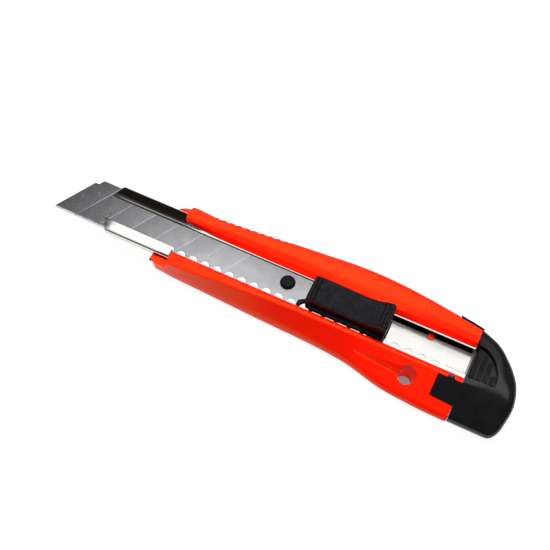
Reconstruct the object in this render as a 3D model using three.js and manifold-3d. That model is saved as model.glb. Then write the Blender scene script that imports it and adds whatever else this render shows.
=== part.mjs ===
// Snap-off knife, 18 mm blade: a moulded handle holding a folded steel channel, a scored blade on a
// locking slider, and a pull-off end cap.  Millimetres, +Z up.
//
// Design axes: X runs from the blade's tip (0) to the end cap, Y from the cutting edge (-) to the
// blade's back (+) with 0 on the blade's middle line, Z up from the handle's underside (0).
// The last lines move the whole group so that its origin is at the middle of its base.
import * as THREE from 'three';
import { mergeVertices } from 'three/addons/utils/BufferGeometryUtils.js';
import Module from 'manifold-3d';

const wasm = await Module();
wasm.setup();

// ---- driving dimensions -------------------------------------------------------------------------

const blade = {
  width: 18,
  length: 100,
  thick: 0.5,
  segment: 10, // distance between score lines
  segments: 7, // segments that snap off; the rest is the tail
  tip: 0.5, // the foremost edge stands this far behind its score grid
  notch: { y: 6.8, depth: 1.6 }, // step in the foremost edge near the blade's back
  scoreGap: 0.04, // width of a score line
  bevel: 1.7, // ground strip along the cutting edge
  top: 7, // height of the blade's upper face
};
const SCORE_SLOPE = 1 / Math.tan(Math.PI / 3); // score lines lean 60 degrees to the cutting edge

const channel = {
  front: 19,
  rear: 165.2,
  width: 20,
  base: 4.5,
  top: 7.8,
  sheet: 0.6,
  bend: 1.3, // outer bend radius
  farLip: 4.5, // y of the plain lip's edge
  toothTip: -5.1, // y of the toothed lip's edge
  toothRoot: -8.6,
  toothWidth: 3.4,
  pitch: 5,
  firstTooth: 54.5,
  teeth: 21,
};

const handle = {
  front: 44,
  rear: 165.4,
  shelf: 50, // the rims start here; ahead of it the channel lies on an open shelf
  shelfTop: 5.7,
  rimTop: 10.2,
  slotTop: 8.8, // half width of the thumb slot at the rims' top
  slotBase: 7.2, // distance from the middle line to the near rim's foot
  ledge: 4.95, // distance from the middle line to the far rim's foot, beside the plain lip's edge
  bead: { y: 6.5, z: 9.4 }, // ridge along the far rim's inner wall
  strip: 10.3, // half width out to the near rim's outer edge
  widest: 3, // height of the widest line on the near flank
  floor: 2, // thickness under the moulding's core pockets
};
const pocket = { start: 54, pitch: 18, rib: 2, halfWidth: 8.4, count: 6 }; // core pockets in the floor
const stake = { radius: 1.15, hole: 1.4, at: [[58, 3.6], [149.7, 3.6]] }; // pins through the channel
// Half widths of the handle seen from above, at stations along X.
const FAR_X = [44, 46.5, 60, 80, 100, 120, 136, 152, 166, 178];
const FAR_Y = [11, 12.4, 12.6, 14, 15.8, 17.2, 16.6, 14.6, 12.4, 9];
const NEAR_X = [44, 45.7, 48.7, 53.2, 66, 90, 116, 126, 140, 152, 158, 178];
const NEAR_Y = [11.3, 13.1, 13.6, 14.05, 14.6, 15.6, 16.6, 17.7, 20.9, 22, 22.3, 22.3];

// The lanyard hole, wider at the top, and the small end of the teardrop hollow that leads to it.
const lanyard = { x: 147.6, y: -14, radius: 3.9, footRadius: 3, start: 127, startRadius: 1.2 };
const hollow = { base: 8.2, fall: 0.12 }; // the teardrop's floor at its small end, and its slope

const cap = { front: 165.6, rear: 184.7, top: 10.2, tongue: 156.8, tongueThick: 1.2 };
const tenon = { rear: 171.5, socketRear: 172, gap: 0.4 }; // block on the handle that fills the cap
const rest = { corner: [166.4, -7], reach: [9.7, 12.4], depth: 0.9, rib: 1.9, pitch: 2.35, ribs: 4 };

const stud = { x: 94.9, radius: 2.75, top: 8.3 };
const block = { front: 111.6, rear: 134.5 }; // the carrier's body behind the blade
const neck = { near: -1.9, far: 4 }; // joins that body to the deck, up through the lips
const deck = { front: 106.4, rear: 132.6, base: 8.95, top: 10.2, halfWidth: 4.2 };
const button = { front: 104, rear: 135, halfWidth: 5.3, skirt: 9.1, ceiling: 10.4, wall: 0.8 };
const groove = { first: 105.6, pitch: 1.3, width: 0.5, base: 12, count: 3 }; // across the button
const lock = { firstLug: 102, lugs: 4, lugWidth: 1.2, outer: -6.6, inner: -4.6, tip: -6.9 };

const CLEAR = 0.15; // running clearance between sliding pieces
const FIT = 0.2; // gap round pieces that snap together
const FAR_OUT = 30; // cutting shapes reach this far, past every side of the knife

// ---- materials ----------------------------------------------------------------------------------

const finish = {
  orange: new THREE.MeshStandardMaterial({ color: 0xff3108, roughness: 0.38, metalness: 0 }),
  nickel: new THREE.MeshStandardMaterial({ color: 0xe6e2da, roughness: 0.12, metalness: 1 }),
  bladeSteel: new THREE.MeshStandardMaterial({ color: 0x8b8d92, roughness: 0.35, metalness: 1 }),
  black: new THREE.MeshStandardMaterial({ color: 0x1b1a1d, roughness: 0.5, metalness: 0 }),
  glossBlack: new THREE.MeshStandardMaterial({ color: 0x151417, roughness: 0.22, metalness: 0 }),
};

// ---- helpers ------------------------------------------------------------------------------------

function solidOf(geometry) {
  const bare = geometry.clone();
  bare.deleteAttribute('normal');
  bare.deleteAttribute('uv');
  const merged = mergeVertices(bare);
  const vertProperties = new Float32Array(merged.attributes.position.array);
  const triVerts = new Uint32Array(merged.index.array);
  return new wasm.Manifold(new wasm.Mesh({ numProp: 3, vertProperties, triVerts }));
}

function geometryOf(solid) {
  const mesh = solid.getMesh();
  const geometry = new THREE.BufferGeometry();
  geometry.setAttribute('position', new THREE.BufferAttribute(new Float32Array(mesh.vertProperties), 3));
  geometry.setIndex(new THREE.BufferAttribute(new Uint32Array(mesh.triVerts), 1));
  geometry.computeVertexNormals();
  return geometry;
}

const join = (first, ...rest) => geometryOf(rest.reduce((sum, g) => sum.add(solidOf(g)), solidOf(first)));
const cut = (first, ...rest) => geometryOf(rest.reduce((sum, g) => sum.subtract(solidOf(g)), solidOf(first)));
const common = (first, second) => geometryOf(solidOf(first).intersect(solidOf(second)));

function box([x0, x1], [y0, y1], [z0, z1]) {
  const geometry = new THREE.BoxGeometry(x1 - x0, y1 - y0, z1 - z0);
  return geometry.translate((x0 + x1) / 2, (y0 + y1) / 2, (z0 + z1) / 2);
}

function peg(x, y, radius, [z0, z1], sides = 20) {
  const geometry = new THREE.CylinderGeometry(radius, radius, z1 - z0, sides);
  return geometry.rotateX(Math.PI / 2).translate(x, y, (z0 + z1) / 2);
}

function outline(points) {
  return new THREE.Shape(points.map(([a, b]) => new THREE.Vector2(a, b)));
}

// A plan outline (x, y) raised from z0 to z1.
function raisePlan(shape, [z0, z1]) {
  const settings = { depth: z1 - z0, bevelEnabled: false, curveSegments: 8 };
  return new THREE.ExtrudeGeometry(shape, settings).translate(0, 0, z0);
}

// A cross-section (y, z) drawn out along X from x0 to x1.
function drawSection(shape, [x0, x1], steps = 1) {
  const settings = { depth: x1 - x0, steps, bevelEnabled: false, curveSegments: 4 };
  const turn = new THREE.Matrix4().makeBasis(
    new THREE.Vector3(0, 1, 0), new THREE.Vector3(0, 0, 1), new THREE.Vector3(1, 0, 0));
  return new THREE.ExtrudeGeometry(shape, settings).applyMatrix4(turn).translate(x0, 0, 0);
}

// A side profile (x, z) widened across Y from y0 to y1.
function widenProfile(shape, [y0, y1]) {
  const settings = { depth: y1 - y0, bevelEnabled: false, curveSegments: 6 };
  return new THREE.ExtrudeGeometry(shape, settings).rotateX(Math.PI / 2).translate(0, y1, 0);
}

const along = (xs, ys) => {
  const curve = new THREE.CubicInterpolant(xs, ys, 1);
  return (x) => curve.evaluate(THREE.MathUtils.clamp(x, xs[0], xs[xs.length - 1]))[0];
};
const farWidth = along(FAR_X, FAR_Y);
const nearWidth = along(NEAR_X, NEAR_Y);

// Moves each point outside the slot's rims in or out, so that the flanks follow the plan widths.
function followPlan(geometry, reference) {
  const position = geometry.attributes.position;
  for (let i = 0; i < position.count; i += 1) {
    const x = position.getX(i);
    const y = position.getY(i);
    const width = y > 0 ? farWidth(x) : nearWidth(x);
    const beyond = Math.abs(y) - handle.strip;
    if (beyond > 0) {
      const scale = (width - handle.strip) / (reference - handle.strip);
      position.setY(i, Math.sign(y) * (handle.strip + beyond * scale));
    }
  }
  return geometry;
}

// ---- handle -------------------------------------------------------------------------------------

const REFERENCE = 15; // half width at which the handle's cross-section is drawn
const FLANK_LEAD = 0.4; // the sloping near flank ends this far inside the widest line

function outerSection() {
  const edge = REFERENCE;
  return [
    [-handle.strip, handle.rimTop],
    [-edge + FLANK_LEAD, handle.widest + 1],
    [-edge, handle.widest],
    [-edge + 0.2, 1.4],
    [-edge + 0.9, 0.4],
    [-edge + 2, 0],
    [edge - 2, 0],
    [edge - 0.9, 0.4],
    [edge - 0.2, 1.4],
    [edge, handle.widest],
    [edge, 7.6],
    [edge - 0.6, 9],
    [edge - 1.8, 9.9],
    [edge - 3.2, handle.rimTop],
  ];
}

function handleSection() {
  const wall = channel.width / 2 + CLEAR;
  const seat = channel.base - 0.05;
  const lips = channel.top + CLEAR;
  return outline([
    [wall, seat],
    [-wall, seat],
    [-wall, lips],
    [-handle.slotBase, lips],
    [-handle.slotTop, handle.rimTop],
    ...outerSection(),
    [handle.slotTop, handle.rimTop],
    [handle.bead.y, handle.bead.z],
    [handle.ledge, lips],
    [wall, lips],
  ].reverse());
}

// The near flank's surface height at distance y from the middle line, behind the lanyard hole.
function flankHeight(y) {
  const scale = (nearWidth(cap.tongue) - handle.strip) / (REFERENCE - handle.strip);
  const run = (REFERENCE - FLANK_LEAD - handle.strip) * scale;
  const drop = handle.rimTop - handle.widest - 1;
  return handle.rimTop - ((-y - handle.strip) * drop) / run;
}

// The cap's near tongue lies in the sloping flank, the far one in the upright side.  A tongue has
// gap 0; the recess for it is larger by the gap and reaches out past the surface.
function nearTongue(gap, proud = 0) {
  const upper = -handle.strip - 0.2 + gap;
  const lower = -17.3 - gap;
  const depth = cap.tongueThick + gap;
  const section = outline([
    [upper, flankHeight(upper) - depth],
    [upper, flankHeight(upper) + proud],
    [lower, flankHeight(lower) + proud],
    [lower, flankHeight(lower) - depth],
  ]);
  return drawSection(section, [cap.tongue - gap, cap.front + 2]);
}

function farTongue(gap, proud = 0) {
  const depth = cap.tongueThick + gap;
  const start = cap.tongue - gap;
  const end = cap.front + 2;
  const plan = outline([
    [start, farWidth(start) - depth],
    [end, farWidth(end) - depth],
    [end, farWidth(end) + proud],
    [start, farWidth(start) + proud],
  ]);
  return raisePlan(plan, [handle.widest + 1 - gap, cap.top + proud]);
}

// The socket in the cap and the tenon on the handle share this cross-section.
function tenonSection(inset) {
  return outline([
    [-16 + inset, 1.9 + inset],
    [3.6 - inset, 1.9 + inset],
    [3.6 - inset, 8.3 - inset],
    [-9.4, 8.3 - inset],
    [-16 + inset, 4.8 - inset],
  ]);
}

// The hole narrows towards the underside.
function lanyardHole() {
  const { x, y, radius, footRadius } = lanyard;
  const hole = new THREE.CylinderGeometry(radius, footRadius, handle.rimTop, 28);
  return hole.rotateX(Math.PI / 2).translate(x, y, handle.rimTop / 2 - FIT);
}

// Teardrop hollow that leads into the lanyard hole, deeper towards the hole.
function lanyardHollow() {
  const { x, y, radius, start, startRadius } = lanyard;
  const { base, fall } = hollow;
  const lean = Math.acos((radius - startRadius) / (x - start));
  const plan = new THREE.Shape();
  plan.absarc(x, y, radius, Math.PI - lean, lean - Math.PI, true);
  plan.absarc(start, y, startRadius, lean - Math.PI, Math.PI - lean, true);
  const slope = new THREE.Matrix4().set(1, 0, 0, 0, 0, 1, 0, 0, -fall, 0, 1, fall * start, 0, 0, 0, 1);
  return raisePlan(plan, [base, FAR_OUT]).applyMatrix4(slope);
}

function corePocket(i) {
  const start = pocket.start + i * pocket.pitch;
  const length = [start, start + pocket.pitch - pocket.rib];
  return box(length, [-pocket.halfWidth, pocket.halfWidth], [handle.floor, channel.base]);
}

// The tenon rises behind the channel and is rooted in the handle's floor.
function tenonBlock() {
  const whole = drawSection(tenonSection(tenon.gap), [handle.rear - 1, tenon.rear]);
  const underChannel = box([0, cap.front], [-FAR_OUT, FAR_OUT], [0, channel.base - 0.05]);
  const inCap = box([cap.front, tenon.rear], [-FAR_OUT, FAR_OUT], [0, FAR_OUT]);
  return common(whole, join(underChannel, inCap));
}

function handleShell() {
  const shell = followPlan(drawSection(handleSection(), [handle.front, handle.rear], 48), REFERENCE);
  const aheadOfRims = box([0, handle.shelf], [-FAR_OUT, FAR_OUT], [handle.shelfTop, FAR_OUT]);
  const pockets = Array.from({ length: pocket.count }, (_, i) => corePocket(i));
  const tongues = [nearTongue(FIT, 1), farTongue(FIT, 1)];
  const hollowed = cut(shell, aheadOfRims, lanyardHole(), lanyardHollow(), ...tongues, ...pockets);
  const pinHeight = [handle.floor - 0.5, channel.base + channel.sheet];
  const pins = stake.at.map(([x, y]) => peg(x, y, stake.radius, pinHeight));
  return join(hollowed, ...pins, tenonBlock());
}

// ---- blade channel ------------------------------------------------------------------------------

function channelSection() {
  const half = channel.width / 2;
  const { base, top, sheet, bend } = channel;
  const inner = bend - sheet;
  const shape = new THREE.Shape();
  shape.moveTo(channel.farLip, top - sheet);
  shape.absarc(half - bend, top - bend, inner, Math.PI / 2, 0, true);
  shape.absarc(half - bend, base + bend, inner, 0, -Math.PI / 2, true);
  shape.absarc(-half + bend, base + bend, inner, -Math.PI / 2, -Math.PI, true);
  shape.absarc(-half + bend, top - bend, inner, Math.PI, Math.PI / 2, true);
  shape.lineTo(channel.toothRoot, top - sheet);
  shape.lineTo(channel.toothRoot, top);
  shape.absarc(-half + bend, top - bend, bend, Math.PI / 2, Math.PI, false);
  shape.absarc(-half + bend, base + bend, bend, Math.PI, Math.PI * 1.5, false);
  shape.absarc(half - bend, base + bend, bend, -Math.PI / 2, 0, false);
  shape.absarc(half - bend, top - bend, bend, 0, Math.PI / 2, false);
  shape.lineTo(channel.farLip, top);
  return shape;
}

// The toothed lip: a long plain tab at the nose, round-topped teeth, and a square tab at the rear.
function toothedLip() {
  const { toothTip, toothRoot, toothWidth, pitch, firstTooth, teeth } = channel;
  const radius = toothWidth / 2;
  const noseEnd = firstTooth - pitch + radius + 0.1;
  const rearStart = firstTooth + teeth * pitch - radius;
  const shape = new THREE.Shape();
  shape.moveTo(channel.front, toothRoot - 0.2);
  shape.lineTo(channel.front, toothTip);
  shape.lineTo(noseEnd - 1, toothTip);
  shape.absarc(noseEnd - 1, toothTip - 1, 1, Math.PI / 2, 0, true);
  shape.lineTo(noseEnd, toothRoot);
  for (let i = 0; i < teeth; i += 1) {
    const x = firstTooth + i * pitch;
    shape.lineTo(x - radius, toothRoot);
    shape.absarc(x, toothTip - radius, radius, Math.PI, 0, true);
    shape.lineTo(x + radius, toothRoot);
  }
  shape.lineTo(rearStart, toothRoot);
  shape.lineTo(rearStart, toothTip - 0.3);
  shape.lineTo(channel.rear, toothTip - 0.3);
  shape.lineTo(channel.rear, toothRoot - 0.2);
  return raisePlan(shape, [channel.top - channel.sheet, channel.top]);
}

// Plan of the whole channel, with the nose trimmed back at its two corners.
function channelPlan() {
  const { front, rear } = channel;
  return outline([
    [rear, -11],
    [rear, 11],
    [front + 3.4, 11],
    [front + 1.8, 9],
    [front, 4.6],
    [front + 0.6, -2],
    [front + 2, -5.2],
    [front + 4.4, -9.6],
    [front + 7, -11],
  ].reverse());
}

function bladeChannel() {
  const folded = drawSection(channelSection(), [channel.front, channel.rear]);
  const trimmed = common(join(folded, toothedLip()), raisePlan(channelPlan(), [0, FAR_OUT]));
  const floor = [channel.base - 1, channel.base + channel.sheet + 1];
  return cut(trimmed, ...stake.at.map(([x, y]) => peg(x, y, stake.hole, floor)));
}

// ---- blade --------------------------------------------------------------------------------------

// A length of the blade between two score lines, its ends leaning with them.
function bladeLength(x0, x1) {
  const half = blade.width / 2;
  const bottom = blade.top - blade.thick;
  const section = outline([
    [-half, blade.top - blade.thick / 2],
    [-half + blade.bevel, bottom],
    [half, bottom],
    [half, blade.top],
    [-half + blade.bevel, blade.top],
  ]);
  const lean = new THREE.Matrix4().makeShear(0, 0, SCORE_SLOPE, 0, 0, 0);
  return drawSection(section, [x0, x1]).applyMatrix4(lean).translate(half * SCORE_SLOPE, 0, 0);
}

function bladeSegment(number) {
  const start = (number - 1) * blade.segment;
  return bladeLength(start, start + blade.segment - blade.scoreGap);
}

// The foremost segment ends a little short, with a small step left by the last break.
function foremostSegment() {
  const half = blade.width / 2;
  const { y, depth } = blade.notch;
  const lean = (at) => (at + half) * SCORE_SLOPE;
  const waste = outline([
    [-5, -half - 1],
    [blade.tip + lean(-half - 1), -half - 1],
    [blade.tip + lean(y), y],
    [blade.tip + depth + lean(y), y],
    [blade.tip + depth + lean(half + 1), half + 1],
    [-5, half + 1],
  ]);
  return cut(bladeSegment(1), raisePlan(waste, [blade.top - 2, blade.top + 2]));
}

function bladeTail() {
  const tail = bladeLength(blade.segments * blade.segment, blade.length);
  return cut(tail, peg(stud.x, 0, stud.radius + CLEAR, [blade.top - 2, blade.top + 2]));
}

// ---- slider -------------------------------------------------------------------------------------

function bladeStud() {
  const { radius, top } = stud;
  const foot = blade.top - blade.thick - 0.4;
  const profile = [[0, foot], [radius, foot], [radius, top - 1], [radius - 0.35, top - 0.5],
    [radius - 1.1, top - 0.12], [0, top]];
  const dome = new THREE.LatheGeometry(profile.map(([r, z]) => new THREE.Vector2(r, z)), 20);
  return dome.rotateX(Math.PI / 2).translate(stud.x, 0, 0);
}

function bladeCarrier() {
  const floor = channel.base + channel.sheet + CLEAR;
  const underBlade = blade.top - blade.thick - CLEAR;
  const underLips = channel.top - channel.sheet - CLEAR;
  const inside = channel.width / 2 - channel.sheet - 0.5;
  const length = [block.front, block.rear];
  return join(
    box([stud.x - 5, block.rear], [-inside, inside], [floor, underBlade]),
    bladeStud(),
    box(length, [-inside, inside], [floor, underLips]),
    box([block.front, deck.rear], [neck.near, neck.far], [underLips - 1, deck.base + 0.3]),
    box([deck.front, deck.rear], [-deck.halfWidth, deck.halfWidth], [deck.base, deck.top]),
  );
}

// Side profile of the thumb button: flat in front, a dip, then a raised heel to push against.
function buttonProfile() {
  const { front, rear, skirt } = button;
  const top = [[10, 12.3], [16, 12], [20.5, 12], [25, 13.3], [28.4, 15.2], [30.2, 15.4]];
  const shape = new THREE.Shape();
  shape.moveTo(rear, skirt);
  shape.lineTo(front, skirt);
  shape.lineTo(front, 11.6);
  shape.lineTo(front + 0.8, 12.2);
  shape.splineThru(top.map(([x, z]) => new THREE.Vector2(front + x, z)));
  shape.lineTo(rear, 14.6);
  return shape;
}

// The button is hollow underneath and rides over the carrier's deck, which is shorter by the play
// that lets the button shift and free the lock.
function thumbButton() {
  const { front, rear, halfWidth, skirt, ceiling, wall } = button;
  const whole = widenProfile(buttonProfile(), [-halfWidth, halfWidth]);
  const inside = box(
    [front + wall, rear - wall], [-halfWidth + wall, halfWidth - wall], [skirt - 1, ceiling]);
  const grooves = Array.from({ length: groove.count }, (_, i) => {
    const x = groove.first + i * groove.pitch;
    const span = [x - groove.width / 2, x + groove.width / 2];
    return box(span, [-FAR_OUT, FAR_OUT], [groove.base, FAR_OUT]);
  });
  return cut(whole, inside, ...grooves);
}

// The hook at the front of the lock's side arm, curving out over the lip to its first lug.
function lockHook() {
  const { firstLug, lugWidth, inner, tip } = lock;
  const thick = 0.9;
  const bend = firstLug + 3.4;
  const hook = new THREE.Shape();
  hook.moveTo(bend + 2.6, inner);
  hook.lineTo(bend, inner);
  hook.quadraticCurveTo(firstLug + 1, inner - 0.2, firstLug + lugWidth / 2, tip);
  hook.lineTo(firstLug - lugWidth / 2, tip);
  hook.quadraticCurveTo(firstLug - 0.4, inner + thick, bend, inner + thick);
  hook.lineTo(bend + 2.6, inner + thick);
  return hook;
}

// A springy side arm beside the carrier's neck.  Its lugs stand in the gaps between the lip's teeth
// and bend out of them when the button shifts.
function lockSpring() {
  const { firstLug, lugs, lugWidth, outer, inner, tip } = lock;
  const level = [channel.top + CLEAR, deck.base - 0.1];
  const inGap = [blade.top + 0.1, level[0] + 0.3];
  const arm = box([firstLug + 3.9, block.rear], [outer, inner], level);
  const root = box([block.rear - 4, block.rear], [inner - 0.2, neck.near - FIT], [inGap[0], level[1]]);
  const lug = (i) => {
    const x = firstLug + i * channel.pitch;
    return box([x - lugWidth / 2, x + lugWidth / 2], [tip, inner], inGap);
  };
  return join(arm, root, raisePlan(lockHook(), level), ...Array.from({ length: lugs }, (_, i) => lug(i)));
}

// ---- end cap ------------------------------------------------------------------------------------

function capPlan() {
  const shape = new THREE.Shape();
  shape.moveTo(cap.front, -nearWidth(cap.front));
  const end = [[184.6, -10.4], [183.6, -4.2], [181.8, 0], [177.6, 5.4], [171.6, 10.3]];
  const corner = [cap.front, farWidth(cap.front)];
  shape.lineTo(179.5, -nearWidth(cap.rear));
  shape.quadraticCurveTo(182.4, -22, 183.6, -17.2);
  shape.splineThru([...end, corner].map(([x, y]) => new THREE.Vector2(x, y)));
  return shape;
}

// Quarter-round thumb rest sunk into the cap's top, with ribs across it.
function thumbRest() {
  const { corner: [x, y], reach, depth, rib, pitch, ribs } = rest;
  const shape = new THREE.Shape();
  shape.moveTo(x, y);
  shape.lineTo(x + reach[0], y);
  shape.absellipse(x, y, reach[0], reach[1], 0, Math.PI / 2, false, 0);
  const recess = raisePlan(shape, [cap.top - depth, FAR_OUT]);
  return cut(recess, ...Array.from({ length: ribs }, (_, i) => {
    const start = x + 0.2 + i * pitch;
    return box([start, start + rib], [-FAR_OUT, FAR_OUT], [0, cap.top - 0.2]);
  }));
}

function endCap() {
  const closed = outline(outerSection().reverse());
  const tube = followPlan(drawSection(closed, [cap.tongue, cap.rear + 1], 8), REFERENCE);
  const body = common(tube, raisePlan(capPlan(), [-1, FAR_OUT]));
  const socket = drawSection(tenonSection(0), [cap.front - 1, tenon.socketRear]);
  const tongues = common(tube, join(nearTongue(0, 1), farTongue(0, 1)));
  return join(cut(body, socket, thumbRest()), tongues);
}

// ---- the knife ----------------------------------------------------------------------------------

function named(name, geometry, material) {
  const mesh = new THREE.Mesh(geometry, material);
  mesh.name = name;
  return mesh;
}

const knife = new THREE.Group();
knife.add(named('handle_shell', handleShell(), finish.orange));
knife.add(named('blade_channel', bladeChannel(), finish.nickel));
knife.add(named('end_cap', endCap(), finish.glossBlack));

const slider = new THREE.Group();
slider.add(named('blade_segment_1', foremostSegment(), finish.bladeSteel));
for (let number = 2; number <= blade.segments; number += 1) {
  slider.add(named(`blade_segment_${number}`, bladeSegment(number), finish.bladeSteel));
}
slider.add(named('blade_tail', bladeTail(), finish.bladeSteel));
slider.add(named('blade_carrier', bladeCarrier(), finish.black));
slider.add(named('thumb_button', thumbButton(), finish.black));
slider.add(named('lock_spring', lockSpring(), finish.black));
knife.add(slider);

const extent = new THREE.Box3().setFromObject(knife);
const middle = extent.getCenter(new THREE.Vector3());
knife.position.set(-middle.x, -middle.y, -extent.min.z);

export default knife;
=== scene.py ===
# Looks for the snap-off knife.  Shapes are worked out in millimetres on the knife's own axes and then
# placed in the frame: X runs from the blade's tip (0) to the end cap, Y from the cutting edge (-) to
# the blade's back (+) with 0 on the blade's middle line, and Z up from the handle's underside (0).
import math

import bmesh
import bpy
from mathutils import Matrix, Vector


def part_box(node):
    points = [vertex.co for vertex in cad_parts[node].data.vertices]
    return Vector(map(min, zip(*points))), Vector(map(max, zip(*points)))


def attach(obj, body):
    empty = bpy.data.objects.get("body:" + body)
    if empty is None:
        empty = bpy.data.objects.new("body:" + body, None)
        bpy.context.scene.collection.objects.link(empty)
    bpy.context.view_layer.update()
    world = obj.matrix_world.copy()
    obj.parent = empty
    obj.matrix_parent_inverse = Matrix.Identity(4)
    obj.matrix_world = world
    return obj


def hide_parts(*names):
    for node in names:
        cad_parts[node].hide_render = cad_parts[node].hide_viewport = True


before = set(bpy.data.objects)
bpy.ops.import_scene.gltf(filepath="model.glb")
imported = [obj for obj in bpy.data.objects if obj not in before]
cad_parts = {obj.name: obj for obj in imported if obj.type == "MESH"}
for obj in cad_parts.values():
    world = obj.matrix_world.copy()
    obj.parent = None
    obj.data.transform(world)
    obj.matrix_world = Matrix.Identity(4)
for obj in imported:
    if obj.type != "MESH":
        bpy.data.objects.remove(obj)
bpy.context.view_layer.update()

MM = 0.001

# ---- driving dimensions, in millimetres ---------------------------------------------------------

CHANNEL = {"front": 19, "rear": 165.5, "half": 10, "base": 4.5, "top": 7.8, "sheet": 0.6, "bend": 0.85}
FAR_LIP = 4.5
LIP_EDGE = {"drop": 0.14, "crest": (0.04, 0.06), "fall": 0.45, "worn": 0.26}  # far lip, then teeth
# Y along the channel's front edge, and how far the edge is set back there
NOSE = [(-10, 4.6), (-9.6, 4.3), (-5.2, 2.1), (-2, 0.6), (4.6, 0), (9, 1.8), (10, 2.6)]
NOSE_LENGTH = 12  # over which the channel's trimmed front edge fades out
TEETH = {"tip": -5.1, "root": -8.6, "width": 3.4, "pitch": 5, "first": 54.5, "count": 21}
NOSE_TAB_END = 51.3
REAR_TAB = {"start": 157.9, "tip": -5.4}

HANDLE = {"front": 44, "rear": 165.4, "shelf": 5.7, "top": 10.2, "widest": 3.4, "seat": 10.15}
NEAR_RIM = 8.8  # half width of the thumb slot at the top of the near rim
SLOT_BASE = [7.95, 7.2]  # height and half width of the thumb slot at the near lip
LEDGE = [(49, 6.9), (51.4, 6.15), (54.6, 5.75), (57.3, 5.5), (61, 5.15), (66, 5), (165, 5)]
BEAD = [(50, 6.2), (57, 6.35), (66, 6.55), (92, 6.85), (135, 6.4), (150, 6.9), (164, 6.6)]
BEAD_HEIGHT = 9.4
RIM_FRONT = {"near": 51.2, "far": 49.2, "bow": 0.05, "bow_middle": 8.5, "length": 0.7, "sunk": 0.3}
FAR_WIDTH = [(44, 11), (46.5, 12.4), (60, 12.6), (80, 14), (100, 15.8), (120, 17.2), (136, 16.6),
             (152, 14.6), (166, 12.4), (178, 9)]
NEAR_WIDTH = [(44, 11.3), (45.7, 13.1), (48.7, 13.6), (53.2, 14.05), (66, 14.6), (90, 15.6),
              (116, 16.6), (126, 17.7), (140, 20.9), (152, 22), (158, 22.3), (178, 22.3)]
FLANK = {"level_fold": 9.8, "fold_drop": 0.12, "foot": 0.35, "foot_rise": 0.8, "swell": 0.5}
FOLD = [(50, 13.2), (58, 12.9), (64, 12.5), (72, 11.9), (85, 11), (100, 10.4), (165, 9.9)]
FAR_RIM = [(50, 7.3), (62, 7.9), (73, 8.7), (90, 9.3), (138, 9.7), (164, 8.7)]
RIPPLE = {"first": 60.1, "last": 88, "pitch": 3.09, "depth": 0.38}
LANYARD = {"x": 147.2, "y": -13.7, "radius": 4.1, "start": 127.3, "start_radius": 1.0}
LANYARD_HOLE = [(-1, 147.0, -15.4, 2.7), (0, 147.0, -15.3, 2.75), (5.2, 147.1, -14.4, 3.15),
                (14, 147.1, -14.4, 3.15)]  # height, centre and radius
HOLLOW = {"crease": -13.75, "drift": 0.075, "sunk": (0.6, 1.9), "length": 20, "tilt": 0.27,
          "ledge": 0.4, "ledge_slope": 0.6, "edge_slope": 1.2, "wall_curve": 1.5}
CAP = {"front": 165.6, "tongue": 156.8, "thick": 1.2, "end": 181, "flank_end": 166}
CAP_CORNER = {"start": 179.5, "turn": (182.4, -22)}
# Y and X along the cap's rear edge
CAP_END = [(-17.2, 183.6), (-10.4, 184.55), (-4.2, 183.6), (0, 181.8), (5.4, 177.5), (10.1, 171.6),
           (12.45, 165.6)]
# rounding of the cap's upper edge, and of its top into the near flank
CAP_EDGE = {"near": 1.3, "end": 5.2, "far": 2.4, "near_depth": 1.7, "depth": 2.8}
CAP_ROLL = {"radius": 1.6, "length": 9}
NEAR_TONGUE = {"near": -17.1, "widening": 0.06, "far": -10.1, "tab": -8.9, "tab_span": (159.9, 162.6)}
FAR_TONGUE = {"low": 4, "high": 9.4}
REST = {"corner": (166.4, -7), "reach": (9.7, 12.4), "depth": 1.5, "rib": 1.75, "pitch": 2.35, "ribs": 4}
TENON = {"start": 164.5, "end": 171.5, "y": (-15.6, 3.2), "z": (2.3, 4.4), "clear": 0.35}
STAKES = [(58, 3.6), (149.7, 3.6)]
STAKE = {"foot": 3.5, "shoulder": 5.0, "top": 5.15, "radius": 1.2, "top_radius": 1.0, "hole": 1.4}

BLADE = {"half": 9, "top": 7, "thick": 0.5, "pitch": 10, "segments": 7, "length": 100}
EDGE = {"bevel": 1.25, "bevel_drop": 0.29, "tip": 0.1, "tip_drop": 0.42}  # widths and drops from the top
FIRST_SEGMENT = {"start": 0.5, "notch_y": 6.8, "notch_depth": 1.6}
SCORE = {"slope": 1 / math.tan(math.radians(60)), "gap": 0.01, "lead": 0.04, "chamfer": 0.24, "depth": 0.05}
STUD = {"x": 94.9, "radius": 2.75, "top": 8.3}
BUTTON = {"front": 104, "rear": 135, "half": 5.3, "skirt": 9.1, "corner": 0.7,
          "grooves": (105.5, 106.8, 131.4, 132.8), "groove_depth": 0.4}


# ---- geometry helpers ---------------------------------------------------------------------------


def frame_origin():
    """The knife's own origin in the frame, found from the channel's place."""
    low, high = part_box("blade_channel")
    return Vector((low.x - CHANNEL["front"] * MM, (low.y + high.y) / 2, 0))


ORIGIN = frame_origin()


def place(x, y, z):
    """A point of the knife in the frame, in metres."""
    return ORIGIN + Vector((x, y, z)) * MM


def smooth_step(t):
    t = min(1, max(0, t))
    return t * t * (3 - 2 * t)


def mix(a, b, t):
    return a + (b - a) * t


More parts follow.
